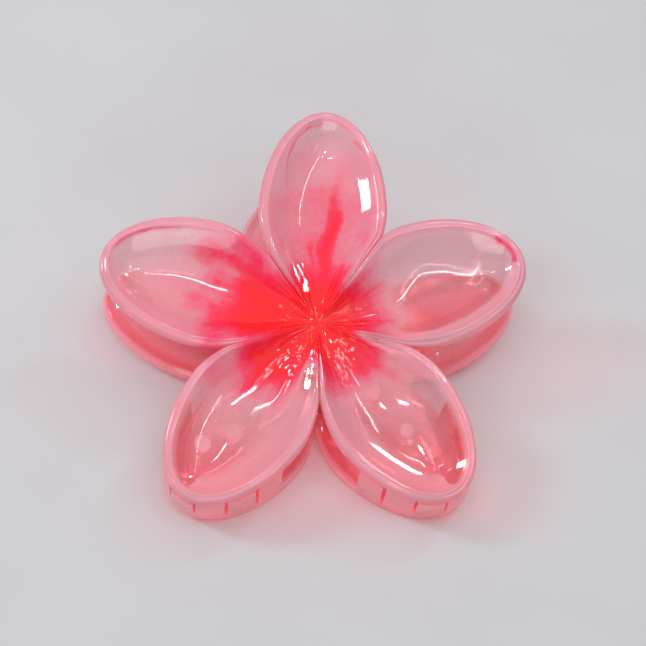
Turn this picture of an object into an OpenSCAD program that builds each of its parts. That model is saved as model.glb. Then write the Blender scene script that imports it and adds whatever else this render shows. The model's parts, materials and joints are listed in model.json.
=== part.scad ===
// Five-petal flower claw clip for hair.
// Two identical flower jaws face away from each other and turn on one pin behind the
// flower centre. A torsion spring on the pin keeps them closed; squeezing the two top
// petals together opens them. Millimetres. The clip lies on its back flower at z = 0.

/* [Flower] */
// Length of the top and side petals, from the flower centre to the tip
petal_length = 42.2; // [38:0.1:46]
// Length of the two lower petals as a share of the others
lower_share = 0.958; // [0.92:0.002:1]
// Half width of a petal at its widest
petal_half_width = 12.1; // [11:0.1:12.6]
// Where a petal is widest, as a share of its length
widest_at = 0.52; // [0.48:0.01:0.58]
// Lean of the top petal to the right
top_lean = 4; // [0:0.5:5]
// Side petals are raised this many degrees from an even spread
side_raise = 2.5; // [0:0.5:4]
// Lower petals stand this many degrees further apart than an even spread
lower_spread = 2; // [0:0.5:3]

/* [Shell] */
// Thickness of the plastic on a petal's floor
wall = 1.6; // [1.2:0.1:2]
// Height of the plain edge around a petal
lip_height = 1.2; // [1:0.1:1.5]
// Depth of the hollow in the top petal
top_depth = 3.8; // [3:0.1:4.2]
// Depth of the hollow in a side petal
side_depth = 4.2; // [3:0.1:4.6]
// Depth of the hollow in a lower petal
lower_depth = 3.2; // [2.8:0.1:3.3]

/* [Dome] */
// Height of the flower centre above the plane between the jaws
centre_height = 8.2; // [8:0.1:9]
// Rise of the petal edges towards the top petal, per mm
rise = 0.1366; // [0.12:0.0002:0.15]
// Extra upward curl along the flower's length, per square mm
curl = 0.0006; // [0.0004:0.0001:0.0008]
// Droop of the petal edges towards the sides, per square mm
droop = 0.0013; // [0.001:0.0001:0.0014]
// How far the petal edges swell above the dome half way along
swell = 1.0; // [0.6:0.1:1.2]

/* [Teeth] */
// Gap left between a tooth and the other jaw's petal
tooth_gap = 0.4; // [0.35:0.05:0.6]
// Inner edge of the teeth as a share of the petal's half width
tooth_inner = 0.86; // [0.84:0.01:0.9]

/* [Hinge] */
// Distance of the hinge pin from the flower centre, towards the top petal
hinge_y = 6; // [5.6:0.1:6.2]
// Diameter of the steel pin
pin_d = 2.0; // [1.8:0.1:2.2]
// Radial clearance of the pin in its bores
pin_clearance = 0.05; // [0.03:0.01:0.08]
// Radius of the rounded end of a hinge lug
lug_radius = 3.0; // [2.8:0.1:3.2]
// Thickness of a hinge lug
lug_thickness = 1.6; // [1.4:0.1:1.7]
// Distance of the inner lugs from the middle of the pin
lug_inner_x = 3.35; // [3.3:0.05:3.5]
// Gap between the lugs of the two jaws
lug_gap = 0.25; // [0.2:0.05:0.3]
// Height of the flat pad that carries the lugs, above the plane between the jaws
pad_height = 5.0; // [4.8:0.1:5.2]

/* [Spring] */
// Diameter of the spring wire
wire_d = 1.0; // [0.8:0.1:1]
// Radius of the coil, to the middle of the wire
coil_radius = 2.3; // [2.1:0.1:2.4]
// Number of turns in the coil
coil_turns = 4.5; // [4.5]
// How far the spring's legs reach past the hinge pin
leg_length = 14; // [12:0.5:15]
// Height of a leg's end above the plane between the jaws
leg_height = 6.0; // [5:0.1:6.1]

/* [Rest] */
// Tilt of the clip about its width when it lies on its back flower, degrees
rest_tilt = 7.6; // [7:0.05:8]

/* [Hidden] */

// The five petals of one moulding, counter-clockwise from the top one
TOP = 0;
UPPER_LEFT = 1;
LOWER_LEFT = 2;
LOWER_RIGHT = 3;
UPPER_RIGHT = 4;

// Direction of each petal's middle line, degrees counter-clockwise from +X
petal_angle = [
    90 - top_lean,
    162 - side_raise,
    234 - lower_spread,
    306 + lower_spread,
    378 + side_raise
];
petal_reach = [
    petal_length,
    petal_length,
    petal_length * lower_share,
    petal_length * lower_share,
    petal_length
];
petal_depth = [top_depth, side_depth, lower_depth, lower_depth, side_depth];

// Distance from the flower centre to the straight line where a petal joins the centre
base_s = 9.6;
// The hollow's middle line ends this share of the way from the base to the tip
spine_share = 0.68;
// Shares of the half width at which the outer face is sampled, from middle line to edge
face_steps = [0, 0.25, 0.45, 0.62, 0.75, 0.84, 0.885, 0.955, 1];
// The same for the inner face of a plain petal and of a petal with teeth
plain_steps = [0, 0.3, 0.5, 0.68, 0.82, 0.92, 1];
tooth_steps = [0, 0.3, 0.5, 0.66, 0.78, tooth_inner - 0.006, tooth_inner, 0.93, 1];
// The hollow ends and the flat lip starts at this share of the half width
lip_start = 0.885;
// The very edge of the lip lies this much lower than its crest
lip_round = 0.3;

// Stations along a petal: the base part by distance, the rounded part by angle from the tip
base_rows = 4;
plain_angles = [90, 80, 69, 58, 47, 37, 27, 18, 9, 0];
// Teeth lie between these angles from the tip, on both sides of a lower petal.
// Those of the left and the right petal alternate, so the two jaws interlock.
left_teeth = [[59.5, 75], [14.5, 36]];
right_teeth = [[38.5, 57], [0, 12]];
flank = 0.4;
left_angles = [
    90, 82, 75 + flank, 75, 67, 59.5, 59.5 - flank, 52, 44,
    36 + flank, 36, 25, 14.5, 14.5 - flank, 7, 0
];
right_angles = [
    90, 80, 68, 57 + flank, 57, 48, 38.5, 38.5 - flank, 30, 21, 12 + flank, 12, 6, 0
];

// Spring
coil_pitch = 1.15;
wire_sides = 8;
steps_per_turn = 12;

function is_lower(p) = p == LOWER_LEFT || p == LOWER_RIGHT;
function row_angles(p) =
    p == LOWER_LEFT ? left_angles : p == LOWER_RIGHT ? right_angles : plain_angles;
function tooth_spans(p) =
    p == LOWER_LEFT ? left_teeth : p == LOWER_RIGHT ? right_teeth : [];
function inner_steps(p) = is_lower(p) ? tooth_steps : plain_steps;
function in_tooth(p, a) = len([for (t = tooth_spans(p)) if (a >= t[0] && a <= t[1]) 1]) > 0;

// Half of the angle between a petal and its neighbour on the given side (+1 is counter-clockwise)
function half_gap(p, side) =
    let (q = (p + side + 5) % 5, d = side * (petal_angle[q] - petal_angle[p]))
    (d < 0 ? d + 360 : d) / 2;

function smooth(k) = let (c = min(max(k, 0), 1)) c * c * (3 - 2 * c);

// Half width of the free petal outline at share t of its length
tip_power = 1.89;
base_power = 1.72;
function outline(t) = petal_half_width * (t > widest_at
    ? sqrt(max(0, 1 - pow((t - widest_at) / (1 - widest_at), tip_power)))
    : 1 - pow((widest_at - t) / widest_at, base_power));

// Height of the petal edges over the point (x, y)
function dome(x, y) =
    let (r = min(norm([x, y]) / petal_length, 1))
    centre_height + rise * y + curl * y * y - droop * x * x + swell * sin(180 * r);

// Depth of the hollow on the middle line, at distance s from the flower centre
function hollow(p, s) = petal_depth[p] * (0.1 + 0.9 * smooth(s / (0.5 * petal_length)));

// How much of the hollow's depth is reached at share k of the half width
function outer_fall(k) = k < lip_start ? 1 - pow(k / lip_start, 2.6) : 0;
function inner_fall(k) = 1 - pow(k, 3);
function lip_drop(k, s) =
    k <= 0.955 ? 0 : lip_round * min(1, s / 12) * pow((k - 0.955) / 0.045, 2);

// Distance along the middle line, and half width on one side, for each row of stations
function row_s(p) = concat(
    [for (i = [0:base_rows - 1])
        base_s + (petal_reach[p] * widest_at - base_s) * i / base_rows],
    [for (a = row_angles(p)) petal_reach[p] * (widest_at + (1 - widest_at) * cos(a))]
);
function row_half(p, s, side) =
    let (free = outline(s / petal_reach[p]), shared = s * tan(half_gap(p, side)))
    min(free, shared);

// Point of the petal's plan, s along the middle line and v to its left
function plan(p, s, v) =
    let (a = petal_angle[p])
    [s * cos(a) - v * sin(a), s * sin(a) + v * cos(a)];

function spine(s) = base_s + (s - base_s) * spine_share;

// A point on the outer or the inner face; k is the signed share of the half width
function face_plan(p, s, k) =
    let (side = k < 0 ? -1 : 1, sp = spine(s))
    plan(p, sp + (s - sp) * abs(k), side * row_half(p, s, side) * abs(k));

function outer_point(p, s, k) =
    let (q = face_plan(p, s, k), deep = hollow(p, spine(s)))
    [q[0], q[1], dome(q[0], q[1]) - deep * outer_fall(abs(k)) - lip_drop(abs(k), s)];

function inner_height(p, s, k) =
    let (q = face_plan(p, s, k), deep = hollow(p, spine(s)) + wall - lip_height)
    dome(q[0], q[1]) - lip_height - deep * inner_fall(abs(k));

function inner_point(p, s, k, toothed) =
    let (q = face_plan(p, s, k), z = inner_height(p, s, k))
    [q[0], q[1], toothed && abs(k) >= tooth_inner ? tooth_gap - z : z];

function mirrored(steps) = concat([for (i = [len(steps) - 1:-1:1]) -steps[i]], steps);

// One petal as a closed shell: an outer and an inner face that meet along the lip and at
// the straight base. The last row folds over itself at the tip, so it is stored once.
module petal(p) {
    s = row_s(p);
    angles = concat([for (i = [0:base_rows - 1]) 90], row_angles(p));
    n = len(s) - 1;
    outer = mirrored(face_steps);
    inner = mirrored(inner_steps(p));
    m = len(face_steps) - 1;
    w = len(inner_steps(p)) - 1;
    outer_points = concat(
        [for (i = [0:n - 1]) for (k = outer) outer_point(p, s[i], k)],
        [for (k = face_steps) outer_point(p, s[n], k)]
    );
    inner_points = concat(
        [for (i = [0:n - 1]) for (k = inner)
            inner_point(p, s[i], k, in_tooth(p, angles[i]) && i >= base_rows)],
        [for (k = inner_steps(p)) inner_point(p, s[n], k, in_tooth(p, angles[n]))]
    );
    first = len(outer_points);
    function o(i, j) = i < n ? i * (2 * m + 1) + j + m : n * (2 * m + 1) + abs(j);
    function u(i, j) = first + (i < n ? i * (2 * w + 1) + j + w : n * (2 * w + 1) + abs(j));
    outer_faces = [for (i = [0:n - 1]) for (j = [-m:m - 1])
        each [[o(i, j), o(i, j + 1), o(i + 1, j)],
              [o(i, j + 1), o(i + 1, j + 1), o(i + 1, j)]]];
    inner_faces = [for (i = [0:n - 1]) for (j = [-w:w - 1])
        each [[u(i, j), u(i + 1, j), u(i, j + 1)],
              [u(i, j + 1), u(i + 1, j), u(i + 1, j + 1)]]];
    edge_faces = [for (i = [0:n - 1])
        each [[o(i, -m), o(i + 1, -m), u(i, -w)],
              [u(i, -w), o(i + 1, -m), u(i + 1, -w)],
              [o(i, m), u(i, w), o(i + 1, m)],
              [u(i, w), u(i + 1, w), o(i + 1, m)]]];
    base_face = concat([for (j = [-w:w]) u(0, j)], [for (j = [m:-1:-m]) o(0, j)]);
    polyhedron(
        points = concat(outer_points, inner_points),
        faces = concat(outer_faces, inner_faces, edge_faces, [base_face]),
        convexity = 6
    );
}

// The middle of the flower, where the five hollows run together over a flat pad
centre_rows = 3;
module centre() {
    m = len(face_steps) - 1;
    steps = [for (j = [-m:m - 1]) j < 0 ? -face_steps[-j] : face_steps[j]];
    around = 5 * 2 * m;
    tip = [[0, 0, dome(0, 0) - hollow(TOP, 0)]];
    rows = [for (i = [1:centre_rows]) for (p = [0:4]) for (k = steps)
        let (s = base_s * i / centre_rows, side = k < 0 ? -1 : 1,
            q = plan(p, s, k * s * tan(half_gap(p, side))))
        [q[0], q[1], dome(q[0], q[1]) - hollow(p, s) * outer_fall(abs(k)) - lip_drop(abs(k), s)]];
    pad = concat(
        [for (p = [0:4]) for (v = [-base_s * tan(half_gap(p, -1)), 0])
            let (q = plan(p, base_s, v)) [q[0], q[1], pad_height]],
        [[0, 0, pad_height]]
    );
    foot = 1 + centre_rows * around;
    pad_middle = foot + 10;
    function g(i, c) = 1 + (i - 1) * around + (c + around) % around;
    fan = [for (c = [0:around - 1]) [0, g(1, c + 1), g(1, c)]];
    bands = [for (i = [1:centre_rows - 1]) for (c = [0:around - 1])
        each [[g(i, c), g(i, c + 1), g(i + 1, c)],
              [g(i, c + 1), g(i + 1, c + 1), g(i + 1, c)]]];
    // Each straight side is a fan of triangles from the middle of its lower edge
    walls = [for (p = [0:4])
        let (corner = foot + 2 * p, middle = corner + 1, next = foot + (2 * p + 2) % 10, c = p * 2 * m)
        each concat(
            [[middle, corner, g(centre_rows, c)], [middle, g(centre_rows, c + 2 * m), next]],
            [for (j = [0:2 * m - 1]) [middle, g(centre_rows, c + j), g(centre_rows, c + j + 1)]])];
    under = [for (j = [0:9]) [pad_middle, foot + j, foot + (j + 1) % 10]];
    polyhedron(
        points = concat(tip, rows, pad),
        faces = concat(fan, bands, walls, under),
        convexity = 4
    );
}

// One hinge lug: a web down from the pad to a rounded end with the pin bore through it
module lug(x) {
    difference() {
        union() {
            translate([x, hinge_y, 0]) rotate([0, 90, 0])
                cylinder(r = lug_radius, h = lug_thickness, $fn = 64);
            translate([x, hinge_y - lug_radius + 0.3, 0])
                cube([lug_thickness, 2 * lug_radius - 0.6, pad_height]);
        }
        translate([x - 1, hinge_y, 0]) rotate([0, 90, 0])
            cylinder(r = pin_d / 2 + pin_clearance, h = lug_thickness + 2, $fn = 64);
    }
}

// Each jaw has an inner lug on its right and an outer lug on its left; turned over, the
// second jaw's lugs fall beside those of the first.
lug_outer_x = lug_inner_x + lug_thickness + lug_gap;
module hinge_lugs() {
    lug(lug_inner_x);
    lug(-lug_outer_x - lug_thickness);
}

// Steel pin with a domed head at each end
head_radius = 1.5;
head_height = 0.7;
pin_half = lug_outer_x + lug_thickness + 0.1;
module pin_profile() {
    polygon([
        [0, -pin_half - head_height],
        [head_radius - 0.5, -pin_half - head_height],
        [head_radius, -pin_half - head_height + 0.4],
        [head_radius, -pin_half],
        [pin_d / 2, -pin_half],
        [pin_d / 2, pin_half],
        [head_radius, pin_half],
        [head_radius, pin_half + head_height - 0.4],
        [head_radius - 0.5, pin_half + head_height],
        [0, pin_half + head_height]
    ]);
}
module pin() {
    translate([0, hinge_y, 0]) rotate([0, 90, 0])
        rotate_extrude($fn = 64) pin_profile();
}

// Middle line of the spring: a leg along the front top petal, the coil, and a leg along
// the back one. The second half is the first turned over.
coil_half = coil_turns * coil_pitch / 2;
coil_steps = coil_turns * steps_per_turn;
function coil_point(i) =
    let (f = i / coil_steps, a = 90 - 360 * coil_turns * f)
    [coil_half - 2 * coil_half * f, hinge_y + coil_radius * cos(a), coil_radius * sin(a)];
leg_rise = leg_height - coil_radius;
function leg_point(f) =
    [coil_half, hinge_y + leg_length * f, coil_radius + leg_rise * f];
spring_path = concat(
    [for (f = [1, 0.66, 0.33]) leg_point(f)],
    [for (i = [0:coil_steps]) coil_point(i)],
    [for (f = [0.33, 0.66, 1]) let (q = leg_point(f)) [-q[0], q[1], -q[2]]]
);
function unit(v) = v / norm(v);
function path_way(i) =
    let (last = len(spring_path) - 1)
    unit(spring_path[min(i + 1, last)] - spring_path[max(i - 1, 0)]);
// The rings are set out across the path, starting from the clip's width
function ring(i) =
    let (t = path_way(i), a = unit([1, 0, 0] - t * t[0]), b = cross(t, a))
    [for (c = [0:wire_sides - 1])
        spring_path[i] + wire_d / 2 * (a * cos(360 * c / wire_sides) + b * sin(360 * c / wire_sides))];
module spring() {
    n = len(spring_path);
    function v(i, c) = i * wire_sides + (c + wire_sides) % wire_sides;
    polyhedron(
        points = [for (i = [0:n - 1]) each ring(i)],
        faces = concat(
            [for (i = [0:n - 2]) for (c = [0:wire_sides - 1])
                each [[v(i, c), v(i + 1, c), v(i, c + 1)],
                      [v(i, c + 1), v(i + 1, c), v(i + 1, c + 1)]]],
            [[for (c = [0:wire_sides - 1]) v(0, c)]],
            [[for (c = [wire_sides - 1:-1:0]) v(n - 1, c)]]
        ),
        convexity = 10
    );
}

// Every corner of one moulding's outer face, and the same corners on the jaw that is
// turned over
jaw_corners = [for (p = [0:4]) for (s = row_s(p)) for (k = mirrored(face_steps)) outer_point(p, s, k)];
both_jaws = concat(jaw_corners, [for (q = jaw_corners) [-q[0], q[1], -q[2]]]);
// Lengthwise places and heights of those corners in the tilted clip. The lowest corners
// touch the surface, and the clip's length is centred on the origin.
tilted_y = [for (q = both_jaws) q[1] * cos(rest_tilt) - q[2] * sin(rest_tilt)];
tilted_z = [for (q = both_jaws) q[1] * sin(rest_tilt) + q[2] * cos(rest_tilt)];
rest_shift = -(max(tilted_y) + min(tilted_y)) / 2;
rest_height = -min(tilted_z);

// The clip lies on its back flower; the back jaw is the front one turned over
module at_rest() {
    translate([0, rest_shift, rest_height]) rotate([rest_tilt, 0, 0]) children();
}
module front() {
    at_rest() children();
}
module back() {
    at_rest() rotate([0, 180, 0]) children();
}

module front_petal_top() { color("lightpink") front() petal(TOP); }
module front_petal_upper_left() { color("pink") front() petal(UPPER_LEFT); }
module front_petal_lower_left() { color("lightpink") front() petal(LOWER_LEFT); }
module front_petal_lower_right() { color("pink") front() petal(LOWER_RIGHT); }
module front_petal_upper_right() { color("lightpink") front() petal(UPPER_RIGHT); }
module front_centre() { color("crimson") front() centre(); }
module front_hinge_lugs() { color("hotpink") front() hinge_lugs(); }
module back_petal_top() { color("salmon") back() petal(TOP); }
module back_petal_upper_left() { color("lightsalmon") back() petal(UPPER_RIGHT); }
module back_petal_lower_left() { color("salmon") back() petal(LOWER_RIGHT); }
module back_petal_lower_right() { color("lightsalmon") back() petal(LOWER_LEFT); }
module back_petal_upper_right() { color("salmon") back() petal(UPPER_LEFT); }
module back_centre() { color("firebrick") back() centre(); }
module back_hinge_lugs() { color("indianred") back() hinge_lugs(); }
module torsion_spring() { color("silver") at_rest() spring(); }
module hinge_pin() { color("lightsteelblue") at_rest() pin(); }

front_petal_top();
front_petal_upper_left();
front_petal_lower_left();
front_petal_lower_right();
front_petal_upper_right();
front_centre();
front_hinge_lugs();
back_petal_top();
back_petal_upper_left();
back_petal_lower_left();
back_petal_lower_right();
back_petal_upper_right();
back_centre();
back_hinge_lugs();
torsion_spring();
hinge_pin();
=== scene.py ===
"""A clear pink flower claw clip with a sprayed red centre, lying on its back flower.

Each jaw is one thin moulding of five hollow petals. Its mesh is worked out in the clip's own
frame, in millimetres, with the plane between the two jaws at z = 0 and the top petal
towards +Y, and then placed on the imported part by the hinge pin.
"""

import json
import math

import bmesh
import bpy
import numpy as np
from mathutils import Matrix, Vector, noise


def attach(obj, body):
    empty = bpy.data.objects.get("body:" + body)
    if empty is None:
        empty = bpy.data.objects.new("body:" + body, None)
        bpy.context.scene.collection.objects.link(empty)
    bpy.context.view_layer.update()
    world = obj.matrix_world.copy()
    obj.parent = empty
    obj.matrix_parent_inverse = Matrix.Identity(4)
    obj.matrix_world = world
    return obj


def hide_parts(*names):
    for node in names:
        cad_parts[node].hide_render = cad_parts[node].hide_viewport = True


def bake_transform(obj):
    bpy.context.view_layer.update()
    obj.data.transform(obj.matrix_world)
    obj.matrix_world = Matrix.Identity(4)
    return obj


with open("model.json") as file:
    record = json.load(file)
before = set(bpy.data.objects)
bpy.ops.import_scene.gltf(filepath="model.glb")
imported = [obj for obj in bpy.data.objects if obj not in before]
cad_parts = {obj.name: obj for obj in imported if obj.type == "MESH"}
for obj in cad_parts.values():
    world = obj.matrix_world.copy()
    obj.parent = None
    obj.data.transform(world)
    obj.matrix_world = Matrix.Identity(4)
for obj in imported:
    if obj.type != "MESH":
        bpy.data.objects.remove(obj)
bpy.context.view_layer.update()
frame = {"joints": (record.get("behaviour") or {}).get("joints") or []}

MM = 0.001

# ---------------------------------------------------------------- the flower, as in CAD
PETAL_LENGTH = 42.2
HALF_WIDTH = 12.1
WIDEST_AT = 0.52
TIP_POWER = 1.89
BASE_POWER = 1.72
CENTRE_HEIGHT = 8.2
RISE = 0.1366
CURL = 0.0006
DROOP = 0.0013
WALL = 1.6
LIP_HEIGHT = 1.2
BASE_S = 9.6
SPINE_SHARE = 0.68
PAD_HEIGHT = 5.0
HINGE_Y = 6.0
REST_TILT = math.radians(7.6)

TOP, UPPER_LEFT, LOWER_LEFT, LOWER_RIGHT, UPPER_RIGHT = range(5)
PETAL_ANGLE = [math.radians(a) for a in (86.0, 159.5, 232.0, 308.0, 380.5)]
PETAL_REACH = [PETAL_LENGTH * share for share in (1, 1, 0.958, 0.958, 1)]
PETAL_DEPTH = [3.8, 4.2, 3.2, 3.2, 4.2]

# The rim in shares of the half width: where it starts, its two beads with a groove between them,
# and where its edge rounds over
LIP_START = 0.84
CREST_RISE = (0.832, 0.862)
CREST_END = 0.950
CREST_HEIGHT = 0.20
GROOVE_AT = 0.908
GROOVE_WIDTH = 0.016
GROOVE_DEPTH = 0.09
LIP_EDGE = 0.955
EDGE_DROP = 0.38
HOLLOW_POWER = 2.6
CENTRE_DIMPLE = 0.38

# Teeth of a lower petal lie between these angles from its tip, in degrees
TEETH = {LOWER_LEFT: [(59.5, 75.0), (14.5, 36.0)], LOWER_RIGHT: [(38.5, 57.0), (0.0, 12.0)]}
TOOTH_INNER = 0.86
TOOTH_GAP = 0.4
FLANK = 0.4

# Where two petals meet, one edge runs over the other: (petal, side), side +1 is counter-clockwise
OVER = {(TOP, 1), (UPPER_RIGHT, 1), (LOWER_RIGHT, 1), (LOWER_LEFT, -1)}
UNDER = {(UPPER_LEFT, -1), (TOP, -1), (UPPER_RIGHT, -1), (UPPER_LEFT, 1)}
OVER_LIFT = 0.2
UNDER_DROP = 0.7


def smooth(low, high, x):
    """0 below low, 1 above high and a smooth rise between."""
    c = min(max((x - low) / (high - low), 0.0), 1.0)
    return c * c * (3 - 2 * c)


def bump(centre, width, x):
    """1 at the centre, falling off on both sides."""
    return math.exp(-(((x - centre) / width) ** 2))


def half_gap(p, side):
    """Half of the angle between a petal and its neighbour on that side."""
    turn = side * (PETAL_ANGLE[(p + side) % 5] - PETAL_ANGLE[p])
    return (turn % (2 * math.pi)) / 2


def outline(t):
    """Half width of the free petal at share t of its length."""
    if t > WIDEST_AT:
        inside = 1 - ((t - WIDEST_AT) / (1 - WIDEST_AT)) ** TIP_POWER
        return HALF_WIDTH * math.sqrt(max(0.0, inside))
    return HALF_WIDTH * (1 - ((WIDEST_AT - t) / WIDEST_AT) ** BASE_POWER)


def dome(x, y):
    """Height of the petal edges over a point."""
    r = min(math.hypot(x, y) / PETAL_LENGTH, 1)
    return CENTRE_HEIGHT + RISE * y + CURL * y * y - DROOP * x * x + math.sin(math.pi * r)


def hollow(p, s):
    """Depth of the hollow on the middle line. The five agree at the flower's centre."""
    start = CENTRE_DIMPLE + (0.1 * PETAL_DEPTH[p] - CENTRE_DIMPLE) * smooth(0, 6, s)
    return start + 0.9 * PETAL_DEPTH[p] * smooth(0, 0.5 * PETAL_LENGTH, s)


def half_width(p, s, side):
    """Half width at s, and whether the edge there is shared with the neighbour."""
    shared = s * math.tan(half_gap(p, side))
    free = outline(s / PETAL_REACH[p])
    return min(free, shared), shared <= free


def plan(p, s, k):
    """Plan point at station s and signed share k of the half width."""
    side = -1 if k < 0 else 1
    spine = s if s < BASE_S else BASE_S + (s - BASE_S) * SPINE_SHARE
    along = spine + (s - spine) * abs(k)
    across = side * half_width(p, s, side)[0] * abs(k)
    c, d = math.cos(PETAL_ANGLE[p]), math.sin(PETAL_ANGLE[p])
    return along * c - across * d, along * d + across * c, spine


def overlap(p, side, s):
    """How strongly the overlap of the edges shows at station s."""
    if (p, side) in OVER or (p, side) in UNDER:
        return smooth(2.0, 9.0, s) * (1 - smooth(17.0, 24.0, s))
    return 0.0


def outer_height(p, s, k, x, y, spine):
    """Height of the face with the hollows."""
    a = abs(k)
    side = -1 if k < 0 else 1
    fall = 1 - (a / LIP_START) ** HOLLOW_POWER if a < LIP_START else 0.0
    full = smooth(0.0, 4.0, s)
    deep = CENTRE_DIMPLE * (1 - full) + hollow(p, spine) * fall * full
    crest = CREST_HEIGHT * smooth(*CREST_RISE, a) * (1 - smooth(CREST_END, 1.0, a))
    crest = (crest - GROOVE_DEPTH * bump(GROOVE_AT, GROOVE_WIDTH, a)) * smooth(1.0, 8.0, s)
    edge = max(0.0, (a - LIP_EDGE) / (1 - LIP_EDGE))
    drop = EDGE_DROP * min(1.0, s / 12) * edge ** 2
    z = dome(x, y) - deep + crest - drop
    if (p, side) in OVER:
        z += OVER_LIFT * overlap(p, side, s) * smooth(0.8, 0.93, a)
    elif (p, side) in UNDER:
        z -= UNDER_DROP * overlap(p, side, s) * smooth(0.6, 1.0, a)
    return z + surface_detail(p, k, x, y)


def radial_noise(angle, frequency, shift):
    """Noise that runs in rays out of the flower's centre."""
    return noise.noise(Vector((frequency * math.cos(angle), frequency * math.sin(angle), shift)))


def surface_detail(p, k, x, y):
    """Creases that run out of the centre, and the slight waves of a cheap moulding."""
    r = math.hypot(x, y)
    angle = math.atan2(y, x)
    floor = 1 - smooth(0.8, 0.9, abs(k))
    ray = radial_noise(angle, 6.5, 0.05 * r)
    fine = radial_noise(angle, 21.0, 0.14 * r + 7)
    centre = smooth(0.8, 3.0, r) * (1 - smooth(9.0, 19.0, r))
    crease = -0.14 * abs(ray) - 0.13 * abs(fine)
    pebble = 0.10 * noise.noise(Vector((0.9 * x, 0.9 * y, 3.0))) * (1 - smooth(7.0, 14.0, r))
    wave = 0.07 * noise.noise(Vector((0.16 * x, 0.16 * y, p * 3.1))) * smooth(10, 20, r) * floor
    return crease * centre * (0.35 + 0.65 * floor) + pebble * smooth(0.2, 1.5, r) + wave


# Round marks of the mould's ejector pins on the underside: petal, station, offset, radius, depth,
# how milky
EJECTOR_MARKS = [
    (LOWER_LEFT, 30.0, -3.3, 1.45, 0.22, 0.85),
    (LOWER_LEFT, 24.9, -0.2, 1.45, 0.10, 0.30),
    (LOWER_RIGHT, 15.6, 0.3, 1.45, 0.20, 0.60),
    (LOWER_RIGHT, 24.9, 0.7, 1.3, 0.20, 0.45),
    (LOWER_RIGHT, 27.0, -0.3, 0.5, 0.25, 0.70),
]


def local(p, x, y):
    """Distances along and to the left of a petal's middle line."""
    c, d = math.cos(PETAL_ANGLE[p]), math.sin(PETAL_ANGLE[p])
    return x * c + y * d, y * c - x * d


def ejector_mark(p, x, y):
    """How milky a mark makes this spot, and the mark's depth there."""
    along, across = local(p, x, y)
    milky, depth = 0.0, 0.0
    for petal, s, v, radius, deep, white in EJECTOR_MARKS:
        if petal == p:
            share = 1 - smooth(radius - 0.2, radius + 0.2, math.hypot(along - s, across - v))
            milky = max(milky, white * share)
            depth = max(depth, deep * share)
    return milky, depth


def inner_height(p, s, k, x, y, spine, toothed):
    """Height of the face towards the other jaw, which carries the teeth and the pad."""
    a = abs(k)
    deep = (hollow(p, spine) + WALL - LIP_HEIGHT) * (1 - a ** 3)
    z = dome(x, y) - LIP_HEIGHT - deep
    edge = max(0.0, (a - LIP_EDGE) / (1 - LIP_EDGE)) ** 2
    if toothed and a >= TOOTH_INNER:
        return TOOTH_GAP - z + 0.22 * edge
    if s < BASE_S:
        return PAD_HEIGHT + (z - PAD_HEIGHT) * smooth(BASE_S - 1.0, BASE_S, s)
    return z + ejector_mark(p, x, y)[1] + 0.2 * edge * smooth(14, 20, s)


# ------------------------------------------------------------------ red spray and tints
# Plumes of red spray on each petal: end as a share of the length, middle of the plume at the
# flower's centre and at its end and its width (shares of the half width, + is counter-clockwise),
# softness of the end, strength
PLUMES = {
    TOP: [
        (1.02, -0.04, -0.38, 0.22, 0.60, 0.80),
        (0.62, -0.10, -0.14, 0.24, 0.50, 0.92),
        (0.98, -0.10, -0.24, 0.42, 0.66, 0.50),
        (0.84, 0.14, 0.02, 0.14, 0.50, 0.58),
        (1.25, -0.10, -0.10, 1.20, 0.70, 0.46),
    ],
    UPPER_LEFT: [
        (0.72, 0.15, 0.10, 1.20, 0.48, 1.05),
        (0.84, -0.50, -0.60, 0.24, 0.46, 0.66),
        (0.82, 0.20, 0.25, 0.30, 0.46, 0.72),
        (1.12, 0.10, 0.10, 0.90, 0.60, 0.32),
    ],
    LOWER_LEFT: [
        (0.60, -0.30, -0.40, 0.80, 0.40, 1.05),
        (0.72, -0.45, -0.60, 0.45, 0.44, 0.72),
        (0.62, 0.15, 0.15, 0.34, 0.40, 0.85),
        (0.90, -0.20, -0.20, 0.70, 0.50, 0.24),
    ],
    LOWER_RIGHT: [
        (0.50, 0.10, 0.10, 1.00, 0.38, 0.95),
        (0.62, 0.30, 0.45, 0.24, 0.38, 0.66),
        (0.80, 0.30, 0.30, 0.60, 0.50, 0.22),
    ],
    UPPER_RIGHT: [
        (0.46, 0.10, 0.10, 1.00, 0.34, 0.95),
        (0.52, 0.30, 0.30, 0.30, 0.34, 0.62),
    ],
}
# Share of the spray that is left on each petal's lip
LIP_SPRAY = {
    (TOP, -1): 0.5, (TOP, 1): 0.5, (UPPER_LEFT, -1): 0.8, (UPPER_LEFT, 1): 0.8, (LOWER_LEFT, -1): 1.0,
    (LOWER_LEFT, 1): 0.0, (LOWER_RIGHT, -1): 0.4, (LOWER_RIGHT, 1): 0.05, (UPPER_RIGHT, -1): 0.15,
    (UPPER_RIGHT, 1): 0.45,
}
# Thin lines of paint: petal, points along and left of its middle line in mm, half width, strength
PAINT_LINES = [
    (
        TOP, [(40.0, 0.6), (38.8, 3.4), (36.6, 5.5), (33.6, 6.8), (30.5, 7.2), (27.0, 7.0), (24.0, 6.6)],
        0.34, 0.50,
    ),
    (TOP, [(37.2, -4.6), (35.9, -6.0), (34.6, -6.9)], 0.40, 0.45),
    (UPPER_RIGHT, [(33.0, 2.6), (36.0, 4.4), (38.2, 4.6)], 0.32, 0.36),
    (UPPER_RIGHT, [(38.4, 4.4), (39.6, 2.8), (40.3, 1.2), (40.2, -0.4)], 0.60, 0.62),
    (UPPER_LEFT, [(40.4, -1.8), (39.2, -3.8), (37.2, -5.6), (34.5, -7.2), (30.0, -8.6)], 0.42, 0.42),
    (UPPER_LEFT, [(36.5, 1.4), (33.0, 2.4), (29.0, 2.2)], 0.4, 0.34),
]


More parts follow.
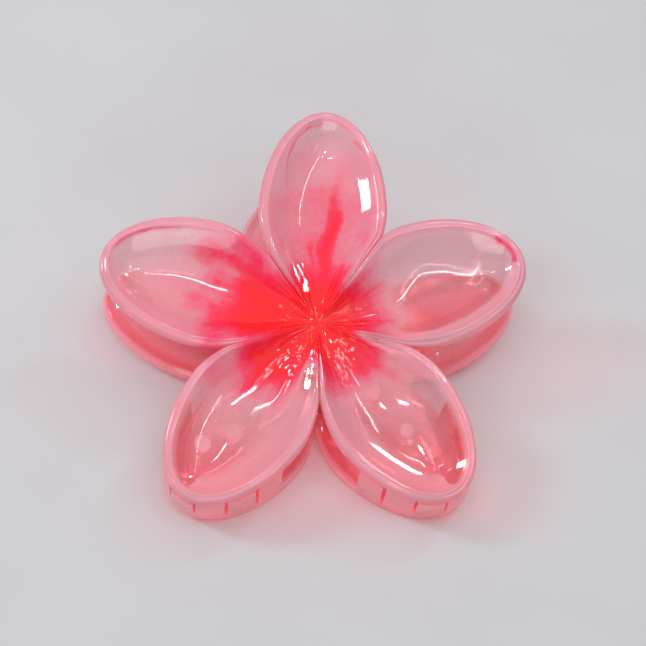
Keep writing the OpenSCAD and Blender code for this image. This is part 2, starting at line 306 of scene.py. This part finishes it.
def line_share(p, x, y):
    """How much of a thin paint line covers this spot."""
    along, across = local(p, x, y)
    best = 0.0
    for petal, stops, width, strength in PAINT_LINES:
        if petal != p:
            continue
        for (ax, ay), (bx, by) in zip(stops, stops[1:]):
            dx, dy = bx - ax, by - ay
            share = ((along - ax) * dx + (across - ay) * dy) / (dx ** 2 + dy ** 2)
            share = min(max(share, 0.0), 1.0)
            far = math.hypot(along - ax - share * dx, across - ay - share * dy)
            worn = 0.8 + 0.3 * noise.noise(Vector((0.7 * along, 0.7 * across, 9.0)))
            best = max(best, strength * worn * bump(0, width, far))
    return best


def spray(p, k, x, y, seed):
    """Amount of red spray at a spot."""
    r = math.hypot(x, y)
    t = local(p, x, y)[0] / PETAL_REACH[p]
    angle = math.atan2(y, x)
    streak = 0.5 * radial_noise(angle, 6.0, 0.03 * r + seed)
    streak += 0.3 * radial_noise(angle, 16.0, 0.06 * r + seed)
    cloud = noise.noise(Vector((0.22 * x, 0.22 * y, seed + 5)))
    value = 1 - smooth(4.0, 21.0 + 5 * streak + 2 * cloud, r)
    drift = 0.10 * noise.noise(Vector((0.16 * x, 0.16 * y, 31.0 + seed)))
    drift += 0.03 * noise.noise(Vector((0.5 * x, 0.5 * y, 37.0 + seed)))
    for end, root, tip, width, soft, strength in PLUMES[p]:
        reach = end + 0.13 * streak + 0.06 * cloud
        middle = root + (tip - root) * smooth(0.1, end, t)
        across = bump(middle, width * (1 + 0.35 * cloud), k + drift)
        value = max(value, strength * (1 - smooth(reach - soft, reach, t)) * across)
    side = -1 if k < 0 else 1
    wall = 0.38 if (p, side) == (LOWER_LEFT, 1) else 0.72
    value *= 1 - (1 - LIP_SPRAY[p, side]) * smooth(wall, wall + 0.18, abs(k)) * smooth(4.5, 11.0, r)
    return value


# Rims that stay broadly milky all the way to the tip: (petal, side)
MILKY_WALLS = {(UPPER_RIGHT, -1), (UPPER_LEFT, 1)}


def milk_and_sheen_share(p, s, k):
    """How milky the plastic is at the rim, plus a painted sheen on the walls where the lower petals face
    each other.
    """
    side = -1 if k < 0 else 1
    narrow = 0.0 if (p, side) in MILKY_WALLS else smooth(0.42, 0.60, s / PETAL_REACH[p])
    start = 0.62 + 0.12 * narrow
    rim = smooth(start, start + 0.12, abs(k)) * smooth(6.0, 15.0, s)
    # Painted sheen: where the lower petals face each other their walls are made paler and less clear,
    # standing in for the light they reflect.
    if (p == LOWER_LEFT and k > 0) or (p == LOWER_RIGHT and k < 0):
        rim = max(rim, 0.8 * smooth(0.30, 0.60, abs(k)) * smooth(8.0, 15.0, s))
    return rim


# ------------------------------------------------------------------------ the jaw's mesh
COMMON_ROWS = 54
COMMON_END = 20.8
TIP_ROWS = 46


def petal_rows(p):
    """Stations along a petal, each with its angle from the tip (90 before the rounded part)."""
    rows = [(COMMON_END * i / COMMON_ROWS, 90.0) for i in range(COMMON_ROWS + 1)]
    marks = []
    for low, high in TEETH.get(p, []):
        marks += [low, low - FLANK, high, high + FLANK]
    marks = [m for m in marks if m >= 0]
    angles = [90.0 * (1 - i / TIP_ROWS) for i in range(TIP_ROWS + 1)]
    angles = [a for a in angles if a in (0.0, 90.0) or all(abs(a - m) > 0.7 for m in marks)]
    for a in sorted(set(angles) | set(marks), reverse=True):
        share = WIDEST_AT + (1 - WIDEST_AT) * math.cos(math.radians(a))
        rows.append((PETAL_REACH[p] * share, a))
    return rows


def both_sides(half):
    return [-k for k in reversed(half) if k > 0] + list(half)


# Shares of the half width that carry the mesh's columns: even on the floor, close at the rim
OUTER_STEPS = both_sides([i * 0.79 / 25 for i in range(26)] + [
    0.812, 0.828, 0.838, 0.847, 0.856, 0.868, 0.882, 0.894, 0.902, 0.91,
    0.92, 0.932, 0.945, 0.96, 0.975, 0.988, 1.0,
])
INNER_STEPS = both_sides([i * 0.80 / 15 for i in range(16)] + [
    0.83, TOOTH_INNER - 0.006, TOOTH_INNER, 0.9, 0.94, 0.97, 0.986, 1.0,
])


def in_tooth(p, angle, row):
    return row > COMMON_ROWS and any(low <= angle <= high for low, high in TEETH.get(p, []))


def build_jaw_mesh(name, seed):
    """One closed moulding: hollow face, inner face with teeth and pad, and the rim between."""
    points, faces, values = [], [], []

    def add(x, y, z, red, lip, mark):
        points.append((x * MM, y * MM, z * MM))
        values.append((red, lip, mark))
        return len(points) - 1

    grids = []
    for p in range(5):
        rows = petal_rows(p)
        outer, inner = [], []
        for i, (s, angle) in enumerate(rows):
            toothed = in_tooth(p, angle, i)
            line = []
            for k in OUTER_STEPS:
                x, y, spine = plan(p, s, k)
                z = outer_height(p, s, k, x, y, spine)
                lip = milk_and_sheen_share(p, s, k)
                red = max(spray(p, k, x, y, seed), line_share(p, x, y))
                line.append(add(x, y, z, red, lip, ejector_mark(p, x, y)[0]))
            outer.append(line)
            line = []
            for k in INNER_STEPS:
                x, y, spine = plan(p, s, k)
                z = inner_height(p, s, k, x, y, spine, toothed)
                lip = smooth(0.90, 0.98, abs(k)) * smooth(6.0, 15.0, s)
                line.append(add(x, y, z, 0.8 * spray(p, k, x, y, seed), lip, ejector_mark(p, x, y)[0]))
            inner.append(line)
        grids.append((rows, outer, inner))
        for i in range(len(rows) - 1):
            for j in range(len(OUTER_STEPS) - 1):
                faces.append((outer[i][j], outer[i][j + 1], outer[i + 1][j + 1], outer[i + 1][j]))
            for j in range(len(INNER_STEPS) - 1):
                faces.append((inner[i][j], inner[i + 1][j], inner[i + 1][j + 1], inner[i][j + 1]))

    def welded(p, side, i):
        """Whether row i of this side lies on the ridge for both petals."""
        if i > COMMON_ROWS:
            return False
        q = (p + side) % 5
        s = COMMON_END * i / COMMON_ROWS
        return half_width(p, s, side)[1] and half_width(q, s, -side)[1]

    for p in range(5):
        rows, outer, inner = grids[p]
        for side in (-1, 1):
            q = (p + side) % 5
            end = 0 if side < 0 else -1
            other_end = -1 if side < 0 else 0
            for i in range(len(rows) - 1):
                here, there = welded(p, side, i), welded(p, side, i + 1)
                if here and there:
                    if (p, side) in OVER:
                        a, b = outer[i][end], outer[i + 1][end]
                        c, d = grids[q][1][i + 1][other_end], grids[q][1][i][other_end]
                        faces.append((a, b, c, d) if side < 0 else (a, d, c, b))
                    continue
                a, b = outer[i][end], outer[i + 1][end]
                c, d = inner[i + 1][end], inner[i][end]
                ring = [a, b, c, d]
                if here and (p, side) in OVER:
                    ring.append(grids[q][1][i][other_end])
                faces.append(tuple(ring) if side < 0 else tuple(reversed(ring)))

    mesh = bpy.data.meshes.new(name)
    mesh.from_pydata(points, [], faces)
    for slot, label in enumerate(("spray", "lip", "mark")):
        layer = mesh.attributes.new(label, "FLOAT", "POINT")
        layer.data.foreach_set("value", np.array([v[slot] for v in values], np.float32))
    work = bmesh.new()
    work.from_mesh(mesh)
    bmesh.ops.remove_doubles(work, verts=work.verts, dist=2e-6)
    bmesh.ops.dissolve_degenerate(work, edges=work.edges, dist=1e-6)
    bmesh.ops.recalc_face_normals(work, faces=work.faces)
    work.to_mesh(mesh)
    work.free()
    mesh.shade_smooth()
    mesh.set_sharp_from_angle(angle=math.radians(42))
    return mesh


# ---------------------------------------------------------------------------- placing
hinge = frame["joints"][0]
to_rest = Matrix.Rotation(REST_TILT, 4, "X")
pin_here = to_rest @ Vector((0, HINGE_Y * MM, 0))
to_rest = Matrix.Translation(Vector(hinge["pos_m"]) - pin_here) @ to_rest
turned_over = to_rest @ Matrix.Rotation(math.pi, 4, "Y")


def place(name, mesh, matrix, material):
    mesh.transform(matrix)
    mesh.materials.append(material)
    piece = bpy.data.objects.new(name, mesh)
    bpy.context.scene.collection.objects.link(piece)
    return piece


# ------------------------------------------------------------------- camera, as first thing
CAMERA_AZIMUTH = math.radians(-10.0)
CAMERA_ELEVATION = math.radians(62.0)
CAMERA_ROLL = math.radians(9.0)
CAMERA_DISTANCE = 300.0
LENS = 91.4
CAMERA_SHIFT = 0.008514


def make_camera():
    """The camera stands off the flower's face, and its angles are against the jaws' plane."""
    a, e = CAMERA_AZIMUTH, CAMERA_ELEVATION
    back = Vector((math.sin(a) * math.cos(e), -math.cos(a) * math.cos(e), math.sin(e)))
    right = (-back).cross(Vector((0, 0, 1))).normalized()
    up = right.cross(-back)
    c, d = math.cos(CAMERA_ROLL), math.sin(CAMERA_ROLL)
    right, up = right * c + up * d, up * c - right * d
    centre = Vector((0, 0, CENTRE_HEIGHT))
    spot = centre + back * CAMERA_DISTANCE
    turn = Matrix((right, up, back)).transposed().to_4x4()
    data = bpy.data.cameras.new("camera")
    data.lens = LENS
    data.sensor_width = 36
    data.clip_start = 0.01
    data.shift_x = CAMERA_SHIFT
    camera = bpy.data.objects.new("camera", data)
    bpy.context.scene.collection.objects.link(camera)
    camera.matrix_world = to_rest @ Matrix.Translation(spot * MM) @ turn
    bpy.context.scene.camera = camera


make_camera()


# --------------------------------------------------------------------------- materials
def new_material(name):
    material = bpy.data.materials.new(name)
    material.use_nodes = True
    nodes, links = material.node_tree.nodes, material.node_tree.links
    return material, nodes, links, nodes["Principled BSDF"]


def ramp(nodes, stops):
    node = nodes.new("ShaderNodeValToRGB")
    node.color_ramp.elements[0].position = stops[0][0]
    node.color_ramp.elements[0].color = (*stops[0][1], 1)
    node.color_ramp.elements[1].position = stops[-1][0]
    node.color_ramp.elements[1].color = (*stops[-1][1], 1)
    for position, colour in stops[1:-1]:
        node.color_ramp.elements.new(position).color = (*colour, 1)
    return node


def math_node(nodes, links, operation, a, b, clamp=False):
    node = nodes.new("ShaderNodeMath")
    node.operation = operation
    node.use_clamp = clamp
    for socket, value in zip(node.inputs, (a, b)):
        if isinstance(value, (int, float)):
            socket.default_value = value
        else:
            links.new(value, socket)
    return node.outputs[0]


def attribute(nodes, label):
    node = nodes.new("ShaderNodeAttribute")
    node.attribute_name = label
    return node.outputs["Fac"]


def petal_plastic():
    """Clear pink styrene. Red spray hides the light that comes through it."""
    material, nodes, links, shader = new_material("petal_plastic")
    spot = nodes.new("ShaderNodeTexCoord").outputs["Object"]
    grain = nodes.new("ShaderNodeTexNoise")
    grain.inputs["Scale"].default_value = 900
    grain.inputs["Detail"].default_value = 3
    links.new(spot, grain.inputs["Vector"])
    cloud = nodes.new("ShaderNodeTexNoise")
    cloud.inputs["Scale"].default_value = 160
    cloud.inputs["Detail"].default_value = 4
    links.new(spot, cloud.inputs["Vector"])
    red = attribute(nodes, "spray")
    speck = math_node(nodes, links, "SUBTRACT", grain.outputs["Fac"], 0.5)
    speck = math_node(nodes, links, "MULTIPLY", speck, 0.24)
    drift = math_node(nodes, links, "SUBTRACT", cloud.outputs["Fac"], 0.5)
    drift = math_node(nodes, links, "MULTIPLY", drift, 0.22)
    unsprayed = math_node(nodes, links, "SUBTRACT", 1.0, red)
    edge_of_spray = math_node(nodes, links, "MULTIPLY", red, unsprayed)
    ragged = math_node(nodes, links, "MULTIPLY", edge_of_spray, 4.0)
    ragged = math_node(nodes, links, "MULTIPLY", ragged, math_node(nodes, links, "ADD", speck, drift))
    red = math_node(nodes, links, "ADD", red, ragged, clamp=True)
    lip = attribute(nodes, "lip")
    mark = attribute(nodes, "mark")

    clear = nodes.new("ShaderNodeMix")
    clear.data_type = "RGBA"
    clear.inputs["A"].default_value = (0.99, 0.89, 0.91, 1)
    clear.inputs["B"].default_value = (1.0, 0.53, 0.62, 1)
    # The lip attribute holds milky rims and a painted sheen on the lower petals' facing walls; with the
    # ejector marks it pales the colour and lowers the transmission.
    milk_and_sheen = math_node(nodes, links, "MAXIMUM", lip, mark)
    links.new(milk_and_sheen, clear.inputs["Factor"])
    paint = ramp(nodes, [
        (0.0, (0.88, 0.12, 0.25)),
        (0.35, (0.88, 0.03, 0.15)),
        (0.65, (0.96, 0.004, 0.065)),
        (0.95, (1.0, 0.001, 0.008)),
    ])
    links.new(red, paint.inputs["Fac"])
    hiding = [(0.0, 0), (0.2, 0.35), (0.4, 0.75), (0.6, 0.96), (0.8, 1)]
    cover = ramp(nodes, [(amount, (share,) * 3) for amount, share in hiding])
    links.new(red, cover.inputs["Fac"])
    colour = nodes.new("ShaderNodeMix")
    colour.data_type = "RGBA"
    links.new(cover.outputs["Color"], colour.inputs["Factor"])
    links.new(clear.outputs["Result"], colour.inputs["A"])
    links.new(paint.outputs["Color"], colour.inputs["B"])
    links.new(colour.outputs["Result"], shader.inputs["Base Color"])

    through = math_node(nodes, links, "MULTIPLY", milk_and_sheen, 0.5)
    through = math_node(nodes, links, "SUBTRACT", 0.96, through)
    bare = math_node(nodes, links, "SUBTRACT", 1.0, cover.outputs["Color"])
    through = math_node(nodes, links, "MULTIPLY", through, bare, clamp=True)
    links.new(through, shader.inputs["Transmission Weight"])
    shader.inputs["Roughness"].default_value = 0.06
    shader.inputs["IOR"].default_value = 1.5
    shader.inputs["Coat Weight"].default_value = 0.3
    shader.inputs["Coat Roughness"].default_value = 0.03
    ripple = nodes.new("ShaderNodeBump")
    ripple.inputs["Strength"].default_value = 0.12
    ripple.inputs["Distance"].default_value = 0.0002
    links.new(cloud.outputs["Fac"], ripple.inputs["Height"])
    links.new(ripple.outputs["Normal"], shader.inputs["Normal"])

    # Light from the lamps goes on through the clear plastic to what is behind it
    light_path = nodes.new("ShaderNodeLightPath")
    window = nodes.new("ShaderNodeBsdfTransparent")
    shade = ramp(nodes, [(0.0, (0.90, 0.66, 0.70)), (1.0, (0.45, 0.02, 0.04))])
    links.new(cover.outputs["Color"], shade.inputs["Fac"])
    links.new(shade.outputs["Color"], window.inputs["Color"])
    surface = nodes.new("ShaderNodeMixShader")
    links.new(light_path.outputs["Is Shadow Ray"], surface.inputs[0])
    links.new(shader.outputs["BSDF"], surface.inputs[1])
    links.new(window.outputs["BSDF"], surface.inputs[2])
    links.new(surface.outputs["Shader"], nodes["Material Output"].inputs["Surface"])

    tint = nodes.new("ShaderNodeVolumeAbsorption")
    tint.inputs["Color"].default_value = (1.0, 0.42, 0.5, 1)
    tint.inputs["Density"].default_value = 320
    links.new(tint.outputs["Volume"], nodes["Material Output"].inputs["Volume"])
    return material


def steel(name, colour, roughness, scratch_scale):
    """Bright steel wire or rod with fine drawing marks."""
    material, nodes, links, shader = new_material(name)
    spot = nodes.new("ShaderNodeTexCoord").outputs["Object"]
    stretch = nodes.new("ShaderNodeMapping")
    stretch.inputs["Scale"].default_value = (0.15, 1, 1)
    links.new(spot, stretch.inputs["Vector"])
    marks = nodes.new("ShaderNodeTexNoise")
    marks.inputs["Scale"].default_value = scratch_scale
    marks.inputs["Detail"].default_value = 5
    links.new(stretch.outputs["Vector"], marks.inputs["Vector"])
    tone = ramp(nodes, [(0.3, tuple(0.72 * c for c in colour)), (0.7, colour)])
    links.new(marks.outputs["Fac"], tone.inputs["Fac"])
    links.new(tone.outputs["Color"], shader.inputs["Base Color"])
    rough = math_node(nodes, links, "MULTIPLY", marks.outputs["Fac"], 0.2)
    links.new(math_node(nodes, links, "ADD", rough, roughness - 0.1), shader.inputs["Roughness"])
    shader.inputs["Metallic"].default_value = 1
    fine = nodes.new("ShaderNodeBump")
    fine.inputs["Strength"].default_value = 0.25
    fine.inputs["Distance"].default_value = 0.00005
    links.new(marks.outputs["Fac"], fine.inputs["Height"])
    links.new(fine.outputs["Normal"], shader.inputs["Normal"])
    return material


def floor_paint():
    material, nodes, links, shader = new_material("floor_paint")
    spot = nodes.new("ShaderNodeTexCoord").outputs["Object"]
    cloud = nodes.new("ShaderNodeTexNoise")
    cloud.inputs["Scale"].default_value = 30
    links.new(spot, cloud.inputs["Vector"])
    tone = ramp(nodes, [(0.3, (0.60, 0.60, 0.60)), (0.7, (0.63, 0.63, 0.63))])
    links.new(cloud.outputs["Fac"], tone.inputs["Fac"])
    links.new(tone.outputs["Color"], shader.inputs["Base Color"])
    shader.inputs["Roughness"].default_value = 0.8
    return material


plastic = petal_plastic()
spring_steel = steel("spring_steel", (0.75, 0.74, 0.72), 0.3, 2500)
pin_steel = steel("pin_steel", (0.68, 0.69, 0.71), 0.25, 3000)

# ------------------------------------------------------------------------------- jaws
FLOWER_NODES = [
    "petal_top", "petal_upper_left", "petal_lower_left", "petal_lower_right", "petal_upper_right",
]
for jaw, matrix, seed in (("front", to_rest, 0.0), ("back", turned_over, 20.0)):
    shell = place(f"{jaw}_flower", build_jaw_mesh(f"{jaw}_flower", seed), matrix, plastic)
    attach(shell, f"{jaw}_jaw")
    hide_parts(*[f"{jaw}_{node}" for node in FLOWER_NODES], f"{jaw}_centre")

# -------------------------------------------------------------------------- hinge lugs
LUG_RADIUS = 3.0
LUG_THICKNESS = 1.6
LUG_INNER_X = 3.35
LUG_GAP = 0.25
LUG_OUTER_X = LUG_INNER_X + LUG_THICKNESS + LUG_GAP
BORE_RADIUS = 1.05
BORE_SIDES = 42
ROUND = 0.22
ROUND_MIDDLE = 0.06
LUG_SPRAY = 0.55


def lug_outline(shrink):
    """The lug's side view: a round end about the pin and a root that flares into the pad."""
    radius = LUG_RADIUS - shrink
    side = [(radius * math.cos(a), radius * math.sin(a)) for a in np.linspace(-math.pi, 0, 33)]
    right = [(radius, 1.5), (radius, 3.2), (radius + 0.15, 4.1)]
    right += [(radius + 0.5, 4.8), (radius + 0.5, 5.4)]
    left = [(-y, z) for y, z in reversed(right)]
    return side + right + left


def build_lug_mesh(name):
    """Two lugs with rounded edges and a bore for the pin."""
    work = bmesh.new()
    turn = np.linspace(0, 2 * math.pi, BORE_SIDES + 1)[:-1]
    bore = [(BORE_RADIUS * math.cos(a), BORE_RADIUS * math.sin(a)) for a in turn]

    def ring(at, outline_points):
        return [work.verts.new((at * MM, (HINGE_Y + y) * MM, z * MM)) for y, z in outline_points]

    def loop_edges(line):
        return [work.edges.get((one, two)) for one, two in zip(line, line[1:] + line[:1])]

    for x in (LUG_INNER_X, -LUG_OUTER_X - LUG_THICKNESS):
        stations = [(x, ROUND), (x + ROUND_MIDDLE, ROUND_MIDDLE), (x + ROUND, 0.0)]
        stations += [(2 * x + LUG_THICKNESS - at, shrink) for at, shrink in reversed(stations)]
        rings = [ring(at, lug_outline(shrink)) for at, shrink in stations]
        for one, two in zip(rings, rings[1:]):
            for j in range(len(one)):
                n = (j + 1) % len(one)
                work.faces.new((one[j], one[n], two[n], two[j]))
        near, far = [ring(at, bore) for at in (stations[0][0], stations[-1][0])]
        for j in range(BORE_SIDES):
            n = (j + 1) % BORE_SIDES
            work.faces.new((near[j], far[j], far[n], near[n]))
        for rim, hole in ((rings[0], near), (rings[-1], far)):
            edges = loop_edges(rim) + loop_edges(hole)
            bmesh.ops.triangle_fill(work, edges=edges, use_beauty=True)
    bmesh.ops.recalc_face_normals(work, faces=work.faces)
    mesh = bpy.data.meshes.new(name)
    work.to_mesh(mesh)
    work.free()
    layer = mesh.attributes.new("spray", "FLOAT", "POINT")
    layer.data.foreach_set("value", np.full(len(mesh.vertices), LUG_SPRAY, np.float32))
    mesh.shade_smooth()
    mesh.set_sharp_from_angle(angle=math.radians(42))
    return mesh


for jaw, matrix in (("front", to_rest), ("back", turned_over)):
    lugs = place(f"{jaw}_lugs", build_lug_mesh(f"{jaw}_lugs"), matrix, plastic)
    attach(lugs, f"{jaw}_jaw")
    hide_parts(f"{jaw}_hinge_lugs")

# ------------------------------------------------------------------------------ spring
COIL_RADIUS = 2.3
COIL_TURNS = 4.5
COIL_PITCH = 1.15
WIRE_RADIUS = 0.5
LEG_LENGTH = 14.0
LEG_HEIGHT = 6.0
COIL_HALF = COIL_TURNS * COIL_PITCH / 2
RING_SIDES = 18


def spring_path():
    """One leg, the coil and the other leg, which is the first turned over."""
    leg = []
    for i in range(16):
        f = 1 - i / 16
        leg.append((COIL_HALF, HINGE_Y + LEG_LENGTH * f, COIL_RADIUS + (LEG_HEIGHT - COIL_RADIUS) * f))
    coil = []
    steps = int(COIL_TURNS * 40)
    for i in range(steps + 1):
        f = i / steps
        a = math.pi / 2 - 2 * math.pi * COIL_TURNS * f
        x = COIL_HALF * (1 - 2 * f)
        coil.append((x, HINGE_Y + COIL_RADIUS * math.cos(a), COIL_RADIUS * math.sin(a)))
    other = [(-x, y, -z) for x, y, z in reversed(leg)]
    return [Vector(q) * MM for q in leg + coil + other]


def tube(name, path, radius, sides):
    """A round tube along a path, with rounded ends."""
    work = bmesh.new()
    rings = []
    last = len(path) - 1
    ways = [(path[min(i + 1, last)] - path[max(i - 1, 0)]).normalized() for i in range(last + 1)]
    across = Vector((1, 0, 0))
    stations = [(path[0] - ways[0] * radius * 0.35, ways[0], 0.75)]
    stations += [(q, w, 1.0) for q, w in zip(path, ways)]
    stations += [(path[last] + ways[last] * radius * 0.35, ways[last], 0.75)]
    for centre, way, share in stations:
        across = (across - way * across.dot(way)).normalized()
        other = way.cross(across)
        ring = []
        for c in range(sides):
            a = 2 * math.pi * c / sides
            spot = centre + (across * math.cos(a) + other * math.sin(a)) * radius * share
            ring.append(work.verts.new(spot))
        rings.append(ring)
    for one, two in zip(rings, rings[1:]):
        for c in range(sides):
            n = (c + 1) % sides
            work.faces.new((one[c], one[n], two[n], two[c]))
    work.faces.new(list(reversed(rings[0])))
    work.faces.new(rings[-1])
    bmesh.ops.recalc_face_normals(work, faces=work.faces)
    mesh = bpy.data.meshes.new(name)
    work.to_mesh(mesh)
    work.free()
    mesh.shade_smooth()
    mesh.set_sharp_from_angle(angle=math.radians(50))
    return mesh


spring_mesh = tube("spring", spring_path(), WIRE_RADIUS * MM, RING_SIDES)
spring = place("spring", spring_mesh, to_rest, spring_steel)
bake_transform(spring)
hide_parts("torsion_spring")

# --------------------------------------------------------------------------------- pin
PIN_RADIUS = 1.0
PIN_HALF = LUG_OUTER_X + LUG_THICKNESS + 0.1
HEAD_RADIUS = 1.5
HEAD_HEIGHT = 0.7
HEAD_SIDE = 0.15
HEAD_BEVEL = 0.08
PIN_SIDES = 48


def build_pin_mesh(name):
    """A rod with a domed head at each end, turned about X."""
    half = [(PIN_RADIUS, 0.0), (PIN_RADIUS, PIN_HALF)]
    half += [(HEAD_RADIUS - HEAD_BEVEL, PIN_HALF), (HEAD_RADIUS, PIN_HALF + HEAD_BEVEL)]
    for a in np.linspace(0, math.pi / 2, 10)[1:]:
        dome_height = (HEAD_HEIGHT - HEAD_SIDE) * math.sin(a)
        half.append((HEAD_RADIUS * math.cos(a), PIN_HALF + HEAD_SIDE + dome_height))
    profile = [(r, -x) for r, x in reversed(half[1:])] + half
    work = bmesh.new()
    rings = []
    for r, x in profile:
        ring = []
        out = max(r, 0.02)
        for c in range(PIN_SIDES):
            a = 2 * math.pi * c / PIN_SIDES
            y, z = HINGE_Y + out * math.cos(a), out * math.sin(a)
            ring.append(work.verts.new((x * MM, y * MM, z * MM)))
        rings.append(ring)
    for one, two in zip(rings, rings[1:]):
        for c in range(PIN_SIDES):
            n = (c + 1) % PIN_SIDES
            work.faces.new((one[c], one[n], two[n], two[c]))
    work.faces.new(list(reversed(rings[0])))
    work.faces.new(rings[-1])
    bmesh.ops.recalc_face_normals(work, faces=work.faces)
    mesh = bpy.data.meshes.new(name)
    work.to_mesh(mesh)
    work.free()
    mesh.shade_smooth()
    mesh.set_sharp_from_angle(angle=math.radians(40))
    return mesh


pin = place("pin", build_pin_mesh("pin"), to_rest, pin_steel)
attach(pin, "back_jaw")
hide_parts("hinge_pin")

# --------------------------------------------------------------------- floor and lights
FLOOR_RADIUS = 0.9
FLOOR_CURVE = 0.7
BACKDROP_HEIGHT = 1.6
FLOOR_SIDES = 96


def make_floor():
    """A wide flat floor that curves up into a backdrop all round, far from the clip."""
    profile = [(0.4, 0.0), (FLOOR_RADIUS, 0.0)]
    for a in np.linspace(0.1, math.pi / 2, 12):
        r, z = FLOOR_RADIUS + FLOOR_CURVE * math.sin(a), FLOOR_CURVE - FLOOR_CURVE * math.cos(a)
        profile.append((r, z))
    profile += [(FLOOR_RADIUS + FLOOR_CURVE, BACKDROP_HEIGHT)]
    work = bmesh.new()
    middle = work.verts.new((0, 0, 0))
    rings = []
    turn = np.linspace(0, 2 * math.pi, FLOOR_SIDES + 1)[:-1]
    for r, z in profile:
        rings.append([work.verts.new((r * math.cos(a), r * math.sin(a), z)) for a in turn])
    for c in range(FLOOR_SIDES):
        n = (c + 1) % FLOOR_SIDES
        work.faces.new((middle, rings[0][c], rings[0][n]))
        for one, two in zip(rings, rings[1:]):
            work.faces.new((one[c], two[c], two[n], one[n]))
    mesh = bpy.data.meshes.new("floor")
    work.to_mesh(mesh)
    work.free()
    mesh.shade_smooth()
    place("floor", mesh, Matrix.Identity(4), floor_paint())


def area_light(name, position, aim, size, power, colour=(1, 1, 1)):
    data = bpy.data.lights.new(name, "AREA")
    data.shape = "RECTANGLE"
    data.size, data.size_y = size
    data.energy = power
    data.color = colour
    lamp = bpy.data.objects.new(name, data)
    bpy.context.scene.collection.objects.link(lamp)
    way = Vector(aim) - Vector(position)
    turn = way.to_track_quat("-Z", "Y").to_matrix().to_4x4()
    lamp.matrix_world = Matrix.Translation(position) @ turn


make_floor()
CLIP = (0, 0, 0.02)
area_light("window", (-0.47, 0.13, 0.36), CLIP, (0.09, 0.15), 1.3, (0.93, 0.91, 1.0))
area_light("tube", (0.03, -0.15, 0.62), CLIP, (0.10, 0.018), 0.22, (0.93, 0.90, 1.0))
area_light("lamp", (0.17, -0.05, 0.60), CLIP, (0.022, 0.022), 0.10, (1.0, 0.96, 0.90))
area_light("strip", (-0.14, -0.010, 0.60), CLIP, (0.010, 0.14), 0.14, (0.95, 0.94, 1.0))
area_light("long_tube", (0.22, -0.035, 0.45), CLIP, (0.33, 0.006), 0.16, (0.95, 0.94, 1.0))
area_light("softbox", (-0.10, -0.80, 0.36), CLIP, (0.70, 0.30), 1.25)
area_light("side", (0.36, 0.33, 0.42), CLIP, (0.05, 0.08), 0.5, (0.92, 0.92, 1.0))

world = bpy.data.worlds.new("studio")
bpy.context.scene.world = world
world.use_nodes = True
world.node_tree.nodes["Background"].inputs["Color"].default_value = (1, 1, 1, 1)
world.node_tree.nodes["Background"].inputs["Strength"].default_value = 0.72

scene = bpy.context.scene
scene.view_settings.view_transform = "Standard"
